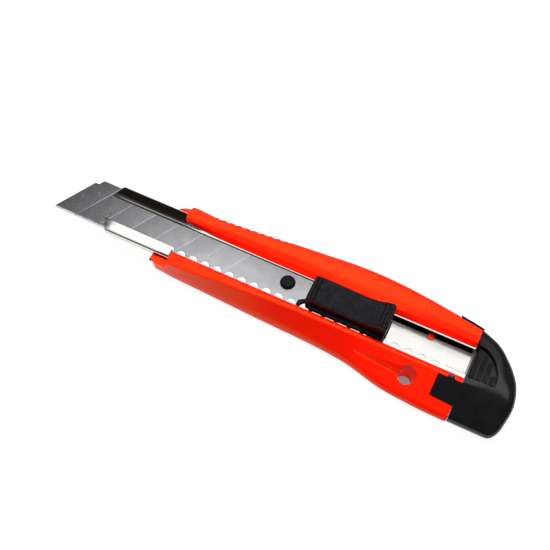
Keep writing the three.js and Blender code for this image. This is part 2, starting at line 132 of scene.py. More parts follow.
def curve_through(stations):
    """A smooth function of x through (x, value) stations, level beyond its ends."""
    xs = [x for x, _ in stations]
    vs = [v for _, v in stations]
    rises = [(vs[i + 1] - vs[i]) / (xs[i + 1] - xs[i]) for i in range(len(xs) - 1)]
    middles = [(a + b) / 2 for a, b in zip(rises, rises[1:])]
    slopes = [rises[0], *middles, rises[-1]]

    def value(x):
        x = min(xs[-1], max(xs[0], x))
        i = max(k for k in range(len(xs) - 1) if xs[k] <= x)
        step = xs[i + 1] - xs[i]
        t = (x - xs[i]) / step
        straight = vs[i] * (1 + 2 * t) * (1 - t) ** 2 + vs[i + 1] * t * t * (3 - 2 * t)
        bend = slopes[i] * t * (1 - t) ** 2 - slopes[i + 1] * t * t * (1 - t)
        return straight + bend * step

    return value


far_width = curve_through(FAR_WIDTH)
near_width = curve_through(NEAR_WIDTH)
fold_line = curve_through(FOLD)
far_rim = curve_through(FAR_RIM)
ledge_edge = curve_through(LEDGE)
bead_line = curve_through(BEAD)
cap_end = curve_through(CAP_END)


def spread(*spans):
    """Positions along X: each span is (start, end, step), and repeats are left out."""
    found = set()
    for start, end, step in spans:
        count = max(1, round((end - start) / step))
        found.update(round(start + (end - start) * i / count, 4) for i in range(count + 1))
    return sorted(found)


def bent(a, b, c, steps):
    """Points along the curve that leaves a towards b and comes to c from b."""
    points = []
    for k in range(steps + 1):
        t = k / steps
        points.append(tuple(a * (1 - t) ** 2 + b * 2 * t * (1 - t) + c * t * t))
    return points


def rounded_ring(corners, arc):
    """Closed ring through (a, b, cut, steps) corners, each rounded from cut before it to cut after it,
    with its straight run to the next corner divided into steps."""
    ends = []
    for i, (a, b, cut, _) in enumerate(corners):
        here = Vector((a, b))
        before = Vector(corners[i - 1][:2]) - here
        after = Vector(corners[(i + 1) % len(corners)][:2]) - here
        start = here + before.normalized() * min(cut, before.length * 0.48)
        end = here + after.normalized() * min(cut, after.length * 0.48)
        ends.append((start, here, end))
    ring = []
    for i, (start, here, end) in enumerate(ends):
        ring.extend(bent(start, here, end, arc))
        steps = corners[i][3]
        goal = ends[(i + 1) % len(ends)][0]
        ring.extend(tuple(end.lerp(goal, k / steps)) for k in range(1, steps))
    return ring


def arc_points(centre, radius, start, end, count):
    turns = [math.radians(start + (end - start) * i / count) for i in range(count + 1)]
    return [(centre[0] + radius * math.cos(t), centre[1] + radius * math.sin(t)) for t in turns]


def loft(rings):
    """Points and faces of a closed body through rings of equal length."""
    count = len(rings[0])
    points = [p for ring in rings for p in ring]
    faces = [tuple(range(count))[::-1]]
    for r in range(len(rings) - 1):
        for k in range(count):
            a = r * count + k
            b = r * count + (k + 1) % count
            faces.append((a, b, b + count, a + count))
    faces.append(tuple(range((len(rings) - 1) * count, len(rings) * count)))
    return points, faces


def prism(outline, low, high):
    """Points and faces of a plan outline raised from low to high."""
    return loft([[(x, y, z) for x, y in outline] for z in (low, high)])


def block(x, y, z):
    """Points and faces of a box given by its spans."""
    return prism([(x[0], y[0]), (x[1], y[0]), (x[1], y[1]), (x[0], y[1])], *z)


def make_object(name, parts):
    """One mesh object from (points, faces) parts in the knife's millimetres."""
    points, faces = [], []
    for part_points, part_faces in parts:
        first = len(points)
        points.extend(place(*p) for p in part_points)
        faces.extend(tuple(first + i for i in face) for face in part_faces)
    mesh = bpy.data.meshes.new(name)
    mesh.from_pydata(points, [], faces)
    obj = bpy.data.objects.new(name, mesh)
    bpy.context.scene.collection.objects.link(obj)
    face_outwards(mesh)
    return obj


def face_outwards(mesh):
    body = bmesh.new()
    body.from_mesh(mesh)
    bmesh.ops.recalc_face_normals(body, faces=body.faces)
    body.to_mesh(mesh)
    body.free()


def keep_modifiers(obj):
    """Replaces the object's mesh by the one that its modifiers make."""
    shown = obj.evaluated_get(bpy.context.evaluated_depsgraph_get())
    mesh = bpy.data.meshes.new_from_object(shown)
    obj.modifiers.clear()
    obj.data = mesh


def combine(obj, operation, parts):
    """Cuts parts from the object, or joins them to it."""
    tool = make_object("tool", parts)
    boolean = obj.modifiers.new("combine", "BOOLEAN")
    boolean.operation = operation
    boolean.solver = "MANIFOLD"
    boolean.object = tool
    keep_modifiers(obj)
    bpy.data.objects.remove(tool)


def soften_edges(obj, width):
    """Rounds every edge sharper than 35 degrees."""
    bevel = obj.modifiers.new("soft edges", "BEVEL")
    bevel.width = width * MM
    bevel.segments = 2
    bevel.limit_method = "ANGLE"
    bevel.angle_limit = math.radians(35)
    bevel.use_clamp_overlap = True
    keep_modifiers(obj)


def finish_piece(obj, body, nodes, material, sharp=32):
    """Smooth shading, material, and the CAD nodes that the piece stands for."""
    obj.data.materials.clear()
    obj.data.materials.append(material)
    obj.data.shade_smooth()
    obj.data.set_sharp_from_angle(angle=math.radians(sharp))
    even = obj.modifiers.new("even shading", "WEIGHTED_NORMAL")
    even.keep_sharp = True
    keep_modifiers(obj)
    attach(obj, body)
    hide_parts(*nodes)
    return obj


# ---- materials ----------------------------------------------------------------------------------


class Finish:
    """A Principled material with small helpers for its procedural nodes."""

    def __init__(self, name, colour, roughness, metallic=0.0):
        self.material = bpy.data.materials.new(name)
        self.material.use_nodes = True
        self.tree = self.material.node_tree
        self.shader = self.tree.nodes["Principled BSDF"]
        self.shader.inputs["Base Color"].default_value = (*colour, 1)
        self.shader.inputs["Roughness"].default_value = roughness
        self.shader.inputs["Metallic"].default_value = metallic
        self.place = self.tree.nodes.new("ShaderNodeTexCoord")

    def noise(self, size, detail=3, stretch=(1, 1, 1)):
        """Noise with features of about size millimetres, stretched along each axis."""
        mapping = self.tree.nodes.new("ShaderNodeMapping")
        mapping.inputs["Scale"].default_value = [1 / s for s in stretch]
        self.tree.links.new(self.place.outputs["Object"], mapping.inputs["Vector"])
        texture = self.tree.nodes.new("ShaderNodeTexNoise")
        texture.inputs["Scale"].default_value = 1 / (size * MM)
        texture.inputs["Detail"].default_value = detail
        self.tree.links.new(mapping.outputs["Vector"], texture.inputs["Vector"])
        return texture.outputs["Fac"]

    def pebbles(self, size):
        """Rounded cells about size millimetres across, 0 in the middle of each."""
        texture = self.tree.nodes.new("ShaderNodeTexVoronoi")
        texture.feature = "SMOOTH_F1"
        texture.inputs["Scale"].default_value = 1 / (size * MM)
        texture.inputs["Smoothness"].default_value = 0.4
        self.tree.links.new(self.place.outputs["Object"], texture.inputs["Vector"])
        return texture.outputs["Distance"]

    def ramp(self, value, low, high, first, last):
        """Maps value between low and high to a colour or grey between first and last."""
        node = self.tree.nodes.new("ShaderNodeValToRGB")
        node.color_ramp.elements[0].position = low
        node.color_ramp.elements[1].position = high
        node.color_ramp.elements[0].color = (*first, 1)
        node.color_ramp.elements[1].color = (*last, 1)
        self.tree.links.new(value, node.inputs["Fac"])
        return node.outputs["Color"]

    def colour(self, value, low, high, first, last):
        self.tree.links.new(self.ramp(value, low, high, first, last), self.shader.inputs["Base Color"])

    def roughness(self, value, low, high, first, last):
        grey = self.ramp(value, low, high, (first,) * 3, (last,) * 3)
        self.tree.links.new(grey, self.shader.inputs["Roughness"])

    def bump(self, value, height):
        """Bump of height millimetres, inwards if height is negative."""
        node = self.tree.nodes.new("ShaderNodeBump")
        node.invert = height < 0
        node.inputs["Distance"].default_value = abs(height) * MM
        node.inputs["Strength"].default_value = 1
        self.tree.links.new(value, node.inputs["Height"])
        self.tree.links.new(node.outputs["Normal"], self.shader.inputs["Normal"])


def orange_plastic():
    finish = Finish("orange_plastic", (0.88, 0.0045, 0.0008), 0.28)
    finish.colour(finish.noise(9, 2), 0, 1, (0.94, 0.004, 0.0008), (0.88, 0.003, 0.0006))
    finish.roughness(finish.noise(12, 1), 0, 1, 0.26, 0.3)
    finish.bump(finish.noise(0.35, 2), 0.0008)
    finish.shader.inputs["Specular Tint"].default_value = (1, 0.8, 0.14, 1)
    return finish.material


def nickel_plate():
    finish = Finish("nickel_plate", (0.68, 0.665, 0.64), 0.08, 1)
    finish.colour(finish.noise(14, 2), 0.35, 0.65, (0.7, 0.685, 0.66), (0.65, 0.635, 0.605))
    finish.roughness(finish.noise(1.5, 4, (12, 1, 1)), 0.3, 0.75, 0.03, 0.07)
    finish.bump(finish.noise(5, 2), 0.003)
    return finish.material


def ground_steel(number):
    """Blade steel, each segment a touch lighter or darker than the next."""
    shade = 1.0 + 0.05 * (number % 2)
    base = [c * shade for c in (0.6, 0.605, 0.63)]
    finish = Finish(f"ground_steel_{number}", base, 0.26, 1)
    scratches = finish.noise(0.5, 5, (0.25, 9, 1))
    finish.colour(finish.noise(4, 3), 0.3, 0.7, [c * 1.06 for c in base], [c * 0.94 for c in base])
    finish.roughness(scratches, 0.25, 0.75, 0.23, 0.28)
    finish.bump(scratches, 0.0002)
    return finish.material


def black_finish(name, base, roughness, specular):
    """A black plastic whose colour and gloss vary a little from place to place."""
    finish = Finish(name, base, roughness)
    finish.colour(finish.noise(4, 3), 0.3, 0.7, [c * 1.25 for c in base], [c * 0.75 for c in base])
    finish.roughness(finish.noise(3, 3), 0.3, 0.7, roughness - 0.03, roughness + 0.03)
    finish.shader.inputs["Specular IOR Level"].default_value = specular
    return finish


def grained_plastic():
    finish = black_finish("grained_plastic", (0.0045, 0.0042, 0.005), 0.36, 0.3)
    finish.bump(finish.pebbles(0.9), -0.3)
    return finish.material


def plain_black():
    finish = black_finish("plain_black", (0.0035, 0.0033, 0.004), 0.38, 0.22)
    finish.bump(finish.noise(0.3, 2), 0.002)
    return finish.material


def cap_plastic():
    finish = black_finish("cap_plastic", (0.004, 0.0036, 0.0042), 0.2, 0.5)
    finish.bump(finish.noise(0.4, 2), 0.001)
    return finish.material


# ---- handle -------------------------------------------------------------------------------------


def fold_height(x):
    return HANDLE["top"] - FLANK["fold_drop"] * (fold_line(x) - FLANK["level_fold"])


def flank_height(x, y):
    """Height of the near flank, its slope carried on upwards past the fold."""
    fold = fold_line(x)
    t = (-y - fold) / (near_width(x) - FLANK["foot"] - fold)
    straight = mix(fold_height(x), HANDLE["widest"] + FLANK["foot_rise"], t)
    return straight + FLANK["swell"] * max(0, t * (1 - t))


def near_top(x, y):
    """Height of the near rim's top and flank, y being negative."""
    fold = fold_line(x)
    if -y > fold:
        return flank_height(x, y)
    return mix(HANDLE["top"], fold_height(x), smooth_step((-y - NEAR_RIM) / (fold - NEAR_RIM)))


def handle_section(x):
    """Section across the handle behind its front: two rims, with the channel's seat between them."""
    base_height, base_half = SLOT_BASE
    fold = fold_line(x)
    near, far = near_width(x), far_width(x)
    seat, seat_base = HANDLE["seat"], CHANNEL["base"] - 0.05
    corners = [
        (ledge_edge(x), base_height, 0.08, 5),
        (bead_line(x), BEAD_HEIGHT, 0.2, 6),
        (far_rim(x), HANDLE["top"] - 0.15, 0.9, 8),
        (far, HANDLE["top"], 3.2, 5),
        (far, 0, 2, 8),
        (-near, 0, 2, 4),
        (-near, HANDLE["widest"], 2.2, 30),
        (-fold, near_top(x, -fold), 0.35, 8),
        (-NEAR_RIM, HANDLE["top"], 0.4, 4),
        (-base_half, base_height, 0.12, 2),
        (-seat, base_height, 0.05, 1),
        (-seat, seat_base, 0.05, 1),
        (seat, seat_base, 0.05, 1),
        (seat, base_height, 0.05, 2),
    ]
    return rounded_ring(corners, arc=6)


def rim_amount(x, y):
    """0 on the open shelf ahead of the rims and 1 behind their front faces."""
    start = RIM_FRONT["near"]
    if y > 0:
        start = RIM_FRONT["far"] + RIM_FRONT["bow"] * (y - RIM_FRONT["bow_middle"]) ** 2
    return smooth_step((x - start) / RIM_FRONT["length"] + 0.5)


def shelf_or_rim(x, y, z):
    """Lowers the rims to the open shelf at the handle's front.  The part over the channel draws back
    to the seat before it sinks, so that it stays clear of the channel and the blade."""
    shelf, seat, sunk = HANDLE["shelf"], HANDLE["seat"], RIM_FRONT["sunk"]
    if z <= shelf:
        return y, z
    rim = rim_amount(x, y)
    if abs(y) < seat:
        y = math.copysign(mix(seat, abs(y), max(0, rim - sunk) / (1 - sunk)), y)
        rim = min(1, rim / sunk)
    return y, mix(shelf, z, rim)


def grip_ripple(x, y, z):
    """Scalloped grip on the far side."""
    inside = smooth_step((x - RIPPLE["first"] + 2) / 1.5) * smooth_step((RIPPLE["last"] + 2 - x) / 1.5)
    wave = 0.5 - 0.5 * math.cos(2 * math.pi * (x - RIPPLE["first"]) / RIPPLE["pitch"])
    outer = smooth_step((y - far_width(x) + 2.2) / 2) * smooth_step(z / 2)
    return y - RIPPLE["depth"] * inside * wave * outer


def teardrop_radius(x):
    """Radius of the teardrop round the lanyard hole, and the nearest place on its middle line."""
    length = LANYARD["x"] - LANYARD["start"]
    t = min(1, max(0, (x - LANYARD["start"]) / length))
    return mix(LANYARD["start_radius"], LANYARD["radius"], t), LANYARD["start"] + t * length


def hollow_height(x, y, crease, far):
    """Height of the teardrop's floor: a gentle near side, a crease and a wall that rises to the rim."""
    radius, middle = teardrop_radius(x)
    inside = radius - math.hypot(x - middle, y - LANYARD["y"])
    bottom = near_top(x, crease) - mix(*HOLLOW["sunk"], (x - LANYARD["start"]) / HOLLOW["length"])
    if y < crease:
        floor = bottom - HOLLOW["tilt"] * (crease - y)
    else:
        rise = 1 - (1 - min(1, (y - crease) / (far - crease))) ** HOLLOW["wall_curve"]
        floor = mix(bottom, near_top(x, far) + 0.01, rise)
    past_ledge = max(0, inside - HOLLOW["ledge"])
    lip = near_top(x, y) - HOLLOW["ledge_slope"] * inside - HOLLOW["edge_slope"] * past_ledge
    return max(floor, lip)


def hollow_ring(x):
    """Cutter ring at x, its rows kept along the teardrop's near edge, its crease and its far edge."""
    radius, middle = teardrop_radius(x)
    half = math.sqrt(max(0.01, radius ** 2 - (x - middle) ** 2))
    near, far = LANYARD["y"] - half, LANYARD["y"] + half
    fine = min(HOLLOW["ledge"], half / 8)
    crease = max(near + 2.5 * fine, HOLLOW["crease"] - HOLLOW["drift"] * (x - LANYARD["start"]))
    crease = min(crease, far - 2.5 * fine)
    before_crease, after_crease = crease - fine / 2, crease + fine / 2
    near_rows = [near - fine, near, near + fine, near + 1.8 * fine]
    near_rows += [mix(near + 1.8 * fine, before_crease, i / 4) for i in range(1, 5)]
    far_rows = [mix(after_crease, far, i / 12) for i in range(1, 13)] + [far + fine]
    floor = [(x, y, hollow_height(x, y, crease, far)) for y in near_rows]
    floor.append((x, after_crease, floor[-1][2]))
    floor += [(x, y, hollow_height(x, y, crease, far)) for y in far_rows]
    return floor + [(x, y, 14) for _, y, _ in reversed(floor)]


def lanyard_recess():
    """Cutter for the teardrop hollow that leads to the lanyard hole."""
    turns = [math.sin(math.radians(a)) for a in range(0, 90, 6)]
    xs = [LANYARD["start"] - LANYARD["start_radius"] * t for t in reversed(turns)]
    xs += spread((LANYARD["start"] + 0.4, LANYARD["x"] - 0.4, 0.4))
    xs += [LANYARD["x"] + LANYARD["radius"] * t for t in turns]
    return loft([hollow_ring(x) for x in xs])


def end_rounding(x):
    """How far the front and rear ends are drawn in."""
    reach = 0.3
    inside = min(x - HANDLE["front"], HANDLE["rear"] - x) / reach
    return 0 if inside >= 1 else reach * (1 - math.sqrt(1 - (1 - max(0, inside)) ** 2))


def handle_ring(x):
    """The section at x with the open shelf, the grip and the rounded ends worked in."""
    inset = end_rounding(x)
    ring = []
    for y, z in handle_section(x):
        y, z = shelf_or_rim(x, y, z)
        if y > 0:
            y = grip_ripple(x, y, z)
        if abs(y) > HANDLE["seat"] + 0.5 or z < 1:
            y -= math.copysign(inset, y)
            if z < 1:
                z += inset
            elif z > 6.5:
                z -= inset
        ring.append((x, y, z))
    return ring


def turned(profile, sides):
    """Points and faces of an upright round body through (height, centre x, centre y, radius) levels."""
    turns = [2 * math.pi * i / sides for i in range(sides)]
    rings = []
    for z, x, y, radius in profile:
        rings.append([(x + radius * math.cos(t), y + radius * math.sin(t), z) for t in turns])
    return loft(rings)


def dome(x, y, base, top, radius, rounding):
    """An upright pin with a rounded top."""
    hair = 0.001
    profile = [(base, x, y, hair), (base, x, y, radius), (top - rounding, x, y, radius)]
    for i in range(1, 6):
        turn = math.radians(90 * i / 6)
        drawn_in = radius * 0.6 * (1 - math.cos(turn))
        profile.append((top - rounding * (1 - math.sin(turn)), x, y, radius - drawn_in))
    profile.append((top, x, y, hair))
    return turned(profile, 40)


def stake(x, y):
    """A pin of the handle that comes up through a hole in the channel's floor."""
    wide, narrow = STAKE["radius"], STAKE["top_radius"]
    return turned([(STAKE["foot"], x, y, wide), (STAKE["shoulder"], x, y, wide),
                   (STAKE["top"], x, y, narrow)], 48)


def handle():
    front, rear = HANDLE["front"], HANDLE["rear"]
    xs = spread((front, front + 0.5, 0.1), (front + 0.5, 48, 0.7), (48, 54, 0.15), (54, 57, 1),
                (57, 91, 0.34), (91, 123, 2), (123, 153, 0.6), (153, 165, 1.2), (165, rear, 0.08))
    body = make_object("handle", [loft([handle_ring(x) for x in xs])])
    combine(body, "DIFFERENCE", [lanyard_recess()])
    combine(body, "DIFFERENCE", [turned(LANYARD_HOLE, 64)])
    combine(body, "DIFFERENCE", [near_tongue(0.12), far_tongue(0.12)])
    tenon = block((TENON["start"], TENON["end"]), TENON["y"], TENON["z"])
    for part in (*[stake(x, y) for x, y in STAKES], tenon):
        combine(body, "UNION", [part])
    return finish_piece(body, "handle", ["handle_shell"], orange_plastic())


# ---- end cap ------------------------------------------------------------------------------------


def cap_outline():
    """Plan of the end cap, carried forward past its flat front so that the front can be cut square."""
    lead, flare = 4, 0.64
    front, near, corner = CAP["front"], near_width(CAP["end"]), CAP_CORNER["start"]
    (end_y, end_x), (far, _) = CAP_END[0], CAP_END[-1]
    turn = [Vector(p) for p in ((corner, -near), CAP_CORNER["turn"], (end_x, end_y))]
    points = [(mix(front - lead, corner, i / 20), -near) for i in range(20)]
    points += bent(*turn, 8)
    ys = [mix(end_y, far, i / 60) for i in range(1, 61)]
    points += [(cap_end(y), y) for y in ys]
    points += [(front - lead * i / 8, far + flare * i / 8) for i in range(1, 9)]
    points += [(front - lead, mix(far + flare, -near, i / 30)) for i in range(1, 30)]
    return points


def cap_top(x, y):
    """The cap's top rolls over into its near flank, more softly towards its end."""
    section = min(x, CAP["flank_end"])
    soft = CAP_ROLL["radius"] * smooth_step((x - CAP["front"]) / CAP_ROLL["length"])
    if soft == 0:
        return near_top(section, y) if y < -NEAR_RIM else HANDLE["top"]
    flank = flank_height(section, y)
    apart = abs(flank - HANDLE["top"])
    return min(flank, HANDLE["top"]) - soft / 2 * math.exp(-apart / soft)


def inward(outline):
    """Unit vectors that point inwards along a plan outline that runs anticlockwise."""
    count = len(outline)
    found = []
    for i in range(count):
        ahead = Vector(outline[(i + 1) % count]) - Vector(outline[i - 1])
        found.append(Vector((-ahead.y, ahead.x)).normalized())
    return found


def cap_rounding(y):
    """Width and depth of the rounded upper edge: small along the near side, broad round the end, and
    narrower again at the far side."""
    past_near = smooth_step((y + 21.5) / 6)
    past_end = smooth_step((y - 1) / 7)
    width = mix(CAP_EDGE["end"], CAP_EDGE["far"], past_end)
    depth = mix(CAP_EDGE["near_depth"], CAP_EDGE["depth"], past_near)
    return mix(CAP_EDGE["near"], width, past_near), depth


def cap_body():
    """The closed cap: rings from the middle of its underside, up its sides and over to its top."""
    outline = cap_outline()
    normals = inward(outline)
    centre = Vector((171, -7))
    foot_inset, side_base = 2.0, 3
    lower = [(foot_inset, 0), (0.9, 0.35), (0.2, 1.4), (0, side_base)]
    rings = []
    for share in (0.02, 0.4, 0.8):
        rings.append([(*centre.lerp(Vector(p) + n * foot_inset, share), 0)
                      for p, n in zip(outline, normals)])
    for inset, z in lower:
        rings.append([(*(Vector(p) + n * inset), z) for p, n in zip(outline, normals)])
    for k in range(9):
        turn = math.radians(90 * k / 8)
        ring = []
        for p, n in zip(outline, normals):
            width, depth = cap_rounding(p[1])
            at = Vector(p) + n * width * (1 - math.cos(turn))
            z = cap_top(*at) - depth * (1 - math.sin(turn))
            ring.append((*at, max(side_base + 0.1, z)))
        rings.append(ring)
    inner = [Vector(p) + n * cap_rounding(p[1])[0] for p, n in zip(outline, normals)]
    for k in range(1, 22):
        share = 1 - k / 22
        spots = [centre.lerp(p, share) for p in inner]
        rings.append([(*spot, cap_top(*spot)) for spot in spots])
    return loft(rings)


def slab(span, near_edge, far_edge, top, thick, out):
    """A plate over a span of x, between two edges given as functions of x.  It reaches from thick
    below the surface top(x, y) to out above it."""
    rings = []
    for x in [mix(*span, i / 60) for i in range(61)]:
        ys = [mix(far_edge(x), near_edge(x), i / 16) for i in range(17)]
        upper = [(x, y, top(x, y) + out) for y in ys]
        rings.append(upper + [(x, y, top(x, y) - thick) for y in reversed(ys)])
    return loft(rings)


def near_tongue(gap=0.0):
    """The tongue that lies in the near flank; with a gap, the recess that it lies in."""
    tab_start, tab_end = NEAR_TONGUE["tab_span"]

    def far_edge(x):
        tab = smooth_step((x - tab_start) / 0.3) - smooth_step((x - tab_end) / 0.3)
        return mix(NEAR_TONGUE["far"], NEAR_TONGUE["tab"], tab) + gap

    def near_edge(x):
        return NEAR_TONGUE["near"] - NEAR_TONGUE["widening"] * (x - CAP["tongue"]) - gap

    span = (CAP["tongue"] - gap, CAP["front"] + 0.3)
    return slab(span, near_edge, far_edge, cap_top, CAP["thick"] + gap, 1 if gap else 0)


def far_tongue(gap=0.0):
    """The tongue on the far side, upright against the handle's outer wall."""
    start, end = CAP["tongue"] - gap, CAP["front"] + 0.3
    out = 1 if gap else 0
    plan = []
    for inset in (CAP["thick"] + gap, -out):
        xs = [start, mix(start, end, 0.5), end]
        line = [(x, far_width(x) - inset) for x in xs]
        plan += line if not plan else line[::-1]
    return prism(plan, FAR_TONGUE["low"] - gap, FAR_TONGUE["high"] + out + gap)


def rest_edge(x):
    """Y of the thumb rest's round side at x."""
    (corner_x, corner_y), (reach_x, reach_y) = REST["corner"], REST["reach"]
    return corner_y + reach_y * math.sqrt(max(0, 1 - ((x - corner_x) / reach_x) ** 2))


def rest_recess():
    """Cutter for the quarter-round thumb rest, flared a little at the top."""
    (x, y), (reach_x, reach_y) = REST["corner"], REST["reach"]
    turns = [math.radians(90 * i / 32) for i in range(33)]
    floor = HANDLE["top"] - REST["depth"]
    levels = [(0, floor), (0, HANDLE["top"] - 0.35), (0.3, HANDLE["top"]), (0.3, 12)]
    rings = []
    for flare, z in levels:
        wide, deep = reach_x + flare, reach_y + flare
        arc = [(x + wide * math.cos(t), y + deep * math.sin(t), z) for t in turns]
        rings.append([(x - flare / 3, y - flare, z), *arc])
    return loft(rings)


def rest_ribs():
    """Square-ended ribs that stand in the thumb rest, each top falling towards the knife's front."""
    corner_x, corner_y = REST["corner"]
    floor, top = HANDLE["top"] - REST["depth"] - 0.1, HANDLE["top"] - 0.15
    ribs = []
    for i in range(REST["ribs"]):
        start = corner_x + 0.2 + i * REST["pitch"]
        end = start + REST["rib"]
        section = [(start, floor), (end, floor), (end, top), (start, top - 0.6)]
        ends = (corner_y + 0.4, rest_edge(end) - 0.7)
        ribs.append(loft([[(x, y, z) for x, z in section] for y in ends]))
    return ribs


def end_cap():
    cap = make_object("end_cap_visual", [cap_body()])
    ahead = block((150, CAP["front"]), (-40, 40), (-5, 20))
    combine(cap, "DIFFERENCE", [ahead])
    combine(cap, "DIFFERENCE", [rest_recess()])
    for rib in rest_ribs():
        combine(cap, "UNION", [rib])
    clear = TENON["clear"]
    (y0, y1), (z0, z1) = TENON["y"], TENON["z"]
    socket = block((160, TENON["end"] + clear), (y0 - clear, y1 + clear), (z0 - clear, z1 + clear))
    combine(cap, "DIFFERENCE", [socket])
    combine(cap, "UNION", [near_tongue(), far_tongue()])
    return finish_piece(cap, "cap", ["end_cap"], cap_plastic(), sharp=28)


# ---- blade channel ------------------------------------------------------------------------------


def tooth_edge(x):
    """Y of the toothed lip's inner edge."""
    if x < NOSE_TAB_END:
        corner = max(0, x - NOSE_TAB_END + 1)
        return TEETH["tip"] - 1 + math.sqrt(1 - corner ** 2)
    if x > REAR_TAB["start"]:
        return REAR_TAB["tip"]
    radius = TEETH["width"] / 2
    nearest = round((x - TEETH["first"]) / TEETH["pitch"])
    nearest = min(TEETH["count"] - 1, max(0, nearest))
    away = abs(x - TEETH["first"] - nearest * TEETH["pitch"])
    if away >= radius:
        return TEETH["root"]
    return TEETH["tip"] - radius + math.sqrt(radius ** 2 - away ** 2)


def channel_stations():
    """Stations along X, close together at the teeth's sides and round tops."""
    radius = TEETH["width"] / 2
    hair = 0.004
    xs = spread((CHANNEL["front"], 50.3, 1.2), (50.3, NOSE_TAB_END - hair, 0.12))
    xs += [NOSE_TAB_END + hair, REAR_TAB["start"] - hair, REAR_TAB["start"] + hair, CHANNEL["rear"]]
    for i in range(TEETH["count"]):
        middle = TEETH["first"] + i * TEETH["pitch"]
        xs += [middle + side * (radius + hair) for side in (-1, 1)]
        xs += [middle + radius * math.sin(math.radians(a)) * 0.9995 for a in range(-90, 91, 15)]
    return sorted(xs)


def channel_ring(x):
    """Ring round the folded sheet: its outer face and back along its inner face."""
    half, bend, sheet = CHANNEL["half"], CHANNEL["bend"], CHANNEL["sheet"]
    top, base = CHANNEL["top"], CHANNEL["base"]
    edge = tooth_edge(x)
    centres = [((half - bend, top - bend), 90, 0), ((half - bend, base + bend), 0, -90),
               ((bend - half, base + bend), -90, -180), ((bend - half, top - bend), 180, 90)]
    outer = [p for centre, a, b in centres for p in arc_points(centre, bend, a, b, 6)]
    inner = [p for centre, a, b in centres for p in arc_points(centre, bend - sheet, a, b, 6)]
    worn, fall, (crest_in, crest_down) = LIP_EDGE["worn"], LIP_EDGE["fall"], LIP_EDGE["crest"]
    section = [(FAR_LIP, top - LIP_EDGE["drop"]), (FAR_LIP + crest_in, top - crest_down),
               (FAR_LIP + fall, top), *outer,
               (edge - worn, top), (edge, top - worn), (edge, top - sheet), *inner[::-1],
               (FAR_LIP, top - sheet)]
    return [(x + nose_setback(x, y), y, z) for y, z in section]


def nose_setback(x, y):
    """The channel's front edge is trimmed back at its corners."""
    fade = 1 - (x - CHANNEL["front"]) / NOSE_LENGTH
    if fade <= 0:
        return 0
    for (y0, v0), (y1, v1) in zip(NOSE, NOSE[1:]):
        if y <= y1:
            return fade * mix(v0, v1, max(0, y - y0) / (y1 - y0))
    return fade * NOSE[-1][1]


def blade_channel():
    body = make_object("channel", [loft([channel_ring(x) for x in channel_stations()])])
    holes = [dome(x, y, 3, 6.2, STAKE["hole"], 0.05) for x, y in STAKES]
    combine(body, "DIFFERENCE", holes)
    return finish_piece(body, "handle", ["blade_channel"], nickel_plate(), sharp=40)


# ---- blade --------------------------------------------------------------------------------------


def lean(y):
    """How far a score line has moved along X at y."""
    return (y + BLADE["half"]) * SCORE["slope"]


def blade_row(y, start, end, top, bottom):
    """Section along X of a length of blade, scored at both its ends."""
    depth = min(SCORE["depth"], (top - bottom) * 0.45)
    return [(start, y, top - depth), (start + SCORE["lead"], y, top), (end - SCORE["chamfer"], y, top),
            (end, y, top - depth), (end, y, bottom), (start, y, bottom)]


def blade_length(start, end, notched=False):
    """A length of blade between two score lines, ground to an edge along its near side.  The first
    length has lost a corner at its far side."""
    half, top, bottom = BLADE["half"], BLADE["top"], BLADE["top"] - BLADE["thick"]
    notch_y = FIRST_SEGMENT["notch_y"]
    rows = [(-half, top - EDGE["tip_drop"], bottom + 0.02),
            (-half + EDGE["tip"], top - EDGE["bevel_drop"], bottom),
            (-half + EDGE["bevel"], top, bottom), (half - 0.15, top, bottom),
            (half, top - 0.12, bottom + 0.05)]
    if notched:
        rows[3:3] = [(notch_y - 0.02, top, bottom), (notch_y + 0.02, top, bottom)]
    rings = []
    for y, upper, lower in rows:
        step = FIRST_SEGMENT["notch_depth"] if notched and y > notch_y else 0
        rings.append(blade_row(y, start + step + lean(y), end + lean(y), upper, lower))
    return loft(rings)


def blade_pieces():
    pitch, gap = BLADE["pitch"], SCORE["gap"]
    for number in range(1, BLADE["segments"] + 1):
        start = (number - 1) * pitch
        if number == 1:
            part = blade_length(FIRST_SEGMENT["start"], pitch - gap, notched=True)
        else:
            part = blade_length(start, start + pitch - gap)
        segment = make_object(f"segment_{number}", [part])
        finish_piece(segment, "slider", [f"blade_segment_{number}"],
                     ground_steel(number), sharp=15)
    tail = make_object("tail", [blade_length(BLADE["segments"] * pitch, BLADE["length"])])
    combine(tail, "DIFFERENCE", [dome(STUD["x"], 0, 5, 9, STUD["radius"] + 0.15, 0.05)])
    finish_piece(tail, "slider", ["blade_tail"], ground_steel(0), sharp=15)


# ---- slider -------------------------------------------------------------------------------------


def blade_carrier():
    """The slider's body: a floor under the blade, a thicker rear, and a neck and deck for the button."""
    floor, under_blade, under_lips = 5.25, 6.35, 7.05
    inside = (-8.9, 8.9)
    blade_end, rear, neck_rear = 111.6, 134.5, 132.6
    carrier = make_object("carrier", [block((89.9, rear), inside, (floor, under_blade))])
    thick_rear = block((blade_end, rear), inside, (floor + 0.1, under_lips))
    neck = block((blade_end, neck_rear), (-1.9, 4), (under_lips - 1, 9.25))
    deck = block((106.4, neck_rear), (-4.2, 4.2), (8.95, 10.2))
    for part in (thick_rear, neck, deck):
        combine(carrier, "UNION", [part])
    soften_edges(carrier, 0.15)
    combine(carrier, "UNION", [dome(STUD["x"], 0, 6, STUD["top"], STUD["radius"], 0.9)])
    return finish_piece(carrier, "slider", ["blade_carrier"], plain_black())


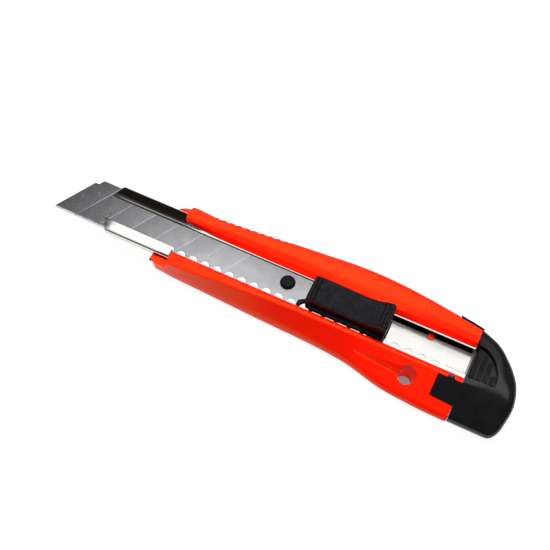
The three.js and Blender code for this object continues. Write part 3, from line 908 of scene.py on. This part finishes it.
def lock_outline():
    """Plan of the lock's side arm, its root and the hook that curves out over the lip."""
    hook_out = [Vector(p) for p in ((105.4, -3.7), (101.6, -3.7), (101.4, -6.9))]
    hook_in = [Vector(p) for p in ((102.6, -6.9), (103, -4.8), (105.2, -4.6))]
    lug = arc_points((106.5, -5.7), 0.9, 120, 270, 8)
    return [(134.5, -2.1), (130.5, -2.1), (130.5, -3.7), *bent(*hook_out, 8), *bent(*hook_in, 8),
            *lug, (134.5, -6.6)]


def lock_spring():
    arm = make_object("lock_arm", [prism(lock_outline()[::-1], 7.95, 8.85)])
    soften_edges(arm, 0.12)
    lugs = [block((x - 0.6, x + 0.6), (-6.85, -4.8), (7.1, 8.3)) for x in (102, 107, 112, 117)]
    combine(arm, "UNION", lugs)
    return finish_piece(arm, "slider", ["lock_spring"], plain_black())


BUTTON_TOP = curve_through([(104, 11.9), (105, 12.2), (114, 12.3), (120, 12), (124.5, 12),
                            (129, 13.3), (132, 15), (133.2, 15.4), (134.3, 15.1), (135, 14.3)])


def button_height(x):
    """Height of the button's top, with grooves across both its ends."""
    z = BUTTON_TOP(x)
    for middle in BUTTON["grooves"]:
        z -= BUTTON["groove_depth"] * math.exp(-(((x - middle) / 0.2) ** 2))
    return z


def button_ring(x):
    half, corner = BUTTON["half"], BUTTON["corner"]
    near_end = min(x - BUTTON["front"], BUTTON["rear"] - x)
    draw_in = corner - math.sqrt(corner ** 2 - max(0, corner - near_end) ** 2)
    top = button_height(x) - draw_in * 0.6
    half -= draw_in
    corners = [(half, BUTTON["skirt"], 0.1, 2), (half - 0.15, top, 0.6, 8), (0.15 - half, top, 0.6, 2),
               (-half, BUTTON["skirt"], 0.1, 4)]
    return [(x, y, z) for y, z in rounded_ring(corners, arc=4)]


def thumb_button():
    front, rear, corner = BUTTON["front"], BUTTON["rear"], BUTTON["corner"]
    xs = spread((front, front + corner, 0.07), (front + corner, 108, 0.08), (108, 130.5, 0.45),
                (130.5, rear - corner, 0.08), (rear - corner, rear, 0.07))
    button = make_object("button", [loft([button_ring(x) for x in xs])])
    combine(button, "DIFFERENCE", [block((104.8, 134.2), (-4.5, 4.5), (8, 10.4))])
    return finish_piece(button, "button", ["thumb_button"], grained_plastic())


# ---- stage --------------------------------------------------------------------------------------

SENSOR = 36
LENS = 17 / 11 * SENSOR
TARGET = (89.37, 0.78, 7.0)
DISTANCE = 311.8
AZIMUTH = math.radians(25.42)
ELEVATION = math.radians(64.39)


def camera_place():
    """The camera's place in the knife's millimetres."""
    level = math.cos(ELEVATION)
    back = Vector((math.sin(AZIMUTH) * level, -math.cos(AZIMUTH) * level, math.sin(ELEVATION)))
    return Vector(TARGET) + back * DISTANCE


def add_camera():
    data = bpy.data.cameras.new("camera")
    data.sensor_width = SENSOR
    data.lens = LENS
    data.clip_start = 0.01
    camera = bpy.data.objects.new("camera", data)
    bpy.context.scene.collection.objects.link(camera)
    camera.location = place(*camera_place())
    look = place(*TARGET) - camera.location
    camera.rotation_euler = look.to_track_quat("-Z", "Y").to_euler()
    bpy.context.scene.camera = camera


def floor_glow_with_painted_shade(finish):
    """Lets the floor glow, but far less under the lanyard hole, where the handle shades it: painted shade
    on the floor there.
    """
    tree = finish.tree
    where = tree.nodes.new("ShaderNodeNewGeometry")
    away = tree.nodes.new("ShaderNodeVectorMath")
    away.operation = "DISTANCE"
    away.inputs[1].default_value = place(*LANYARD_HOLE[1][1:3], 0)
    # Painted shade: the glow falls from 0.92 to 0.2 over 5.5 to 3.5 mm from the lanyard hole's middle.
    glow_with_painted_shade = tree.nodes.new("ShaderNodeMapRange")
    glow_with_painted_shade.inputs["From Min"].default_value = 3.5 * MM
    glow_with_painted_shade.inputs["From Max"].default_value = 5.5 * MM
    glow_with_painted_shade.inputs["To Min"].default_value = 0.2
    glow_with_painted_shade.inputs["To Max"].default_value = 0.92
    tree.links.new(where.outputs["Position"], away.inputs[0])
    tree.links.new(away.outputs["Value"], glow_with_painted_shade.inputs["Value"])
    tree.links.new(glow_with_painted_shade.outputs["Result"], finish.shader.inputs["Emission Strength"])


def add_floor():
    reach = 3000
    corners = [(-reach, -reach, 0), (reach, -reach, 0), (reach, reach, 0), (-reach, reach, 0)]
    floor = make_object("floor", [(corners, [(0, 1, 2, 3)])])
    floor.location.z = -0.05 * MM
    white = Finish("floor_white", (0.13, 0.13, 0.13), 0.8)
    white.shader.inputs["Emission Color"].default_value = (1, 1, 1, 1)
    # Even glow, with painted shade under the lanyard hole.
    floor_glow_with_painted_shade(white)
    floor.data.materials.append(white.material)


def add_panel(name, centre, size, radiance, reflected=True):
    """A soft light that looks straight down, its centre and size in the knife's millimetres."""
    data = bpy.data.lights.new(name, "AREA")
    data.shape = "RECTANGLE"
    data.size = size[0] * MM
    data.size_y = size[1] * MM
    data.energy = radiance * math.pi * data.size * data.size_y
    lamp = bpy.data.objects.new(name, data)
    bpy.context.scene.collection.objects.link(lamp)
    lamp.location = place(*centre)
    lamp.visible_glossy = reflected


def add_dark_card(centre, size):
    """A dark card overhead, there only for the nickel to reflect."""
    x, y, z = centre
    card = make_object("dark_card", [block((x - size[0] / 2, x + size[0] / 2),
                                           (y - size[1] / 2, y + size[1] / 2), (z, z + 2))])
    black = Finish("card_dark", (0.012, 0.008, 0.005), 0.8)
    black.shader.inputs["Specular IOR Level"].default_value = 0
    card.data.materials.append(black.material)
    card.visible_camera = False
    card.visible_diffuse = False
    card.visible_shadow = False


def add_world(strength):
    """Even light of that strength, seen as white behind the floor."""
    world = bpy.data.worlds.new("studio")
    world.use_nodes = True
    tree = world.node_tree
    background = tree.nodes["Background"]
    background.inputs["Color"].default_value = (1, 1, 1, 1)
    ray = tree.nodes.new("ShaderNodeLightPath")
    level = tree.nodes.new("ShaderNodeMapRange")
    level.inputs["To Min"].default_value = strength
    level.inputs["To Max"].default_value = 1
    tree.links.new(ray.outputs["Is Camera Ray"], level.inputs["Value"])
    tree.links.new(level.outputs["Result"], background.inputs["Strength"])
    bpy.context.scene.world = world


def add_sun(strength, azimuth, elevation, angle):
    """A soft sun; azimuth 0 shines from +X and 90 from +Y."""
    data = bpy.data.lights.new("sun", "SUN")
    data.energy = strength
    data.angle = math.radians(angle)
    lamp = bpy.data.objects.new("sun", data)
    bpy.context.scene.collection.objects.link(lamp)
    turn, rise = math.radians(azimuth), math.radians(elevation)
    towards = Vector((math.cos(turn) * math.cos(rise), math.sin(turn) * math.cos(rise), math.sin(rise)))
    lamp.rotation_euler = towards.to_track_quat("Z", "Y").to_euler()
    lamp.visible_glossy = False


def stage():
    """Floor, lights and camera.  The key, the strips and the dark card shape the reflections in the
    steel, and the fill and the sun stay out of them."""
    bpy.context.scene.view_settings.view_transform = "Standard"
    add_world(0.09)
    add_floor()
    add_panel("key", (210, 134, 500), (620, 166), 1.4)
    add_panel("front strip", (-145, 187, 500), (90, 32), 1.5)
    add_panel("edge strip", (-225, -50, 500), (210, 120), 2)
    add_panel("fill", (90, 0, 1100), (2400, 2400), 0.68, reflected=False)
    add_sun(8, 115, 46, 50)
    add_dark_card((60, 292, 500), (900, 150))
    add_camera()


# ---- the knife ----------------------------------------------------------------------------------

handle()
end_cap()
blade_channel()
blade_pieces()
blade_carrier()
lock_spring()
thumb_button()
stage()
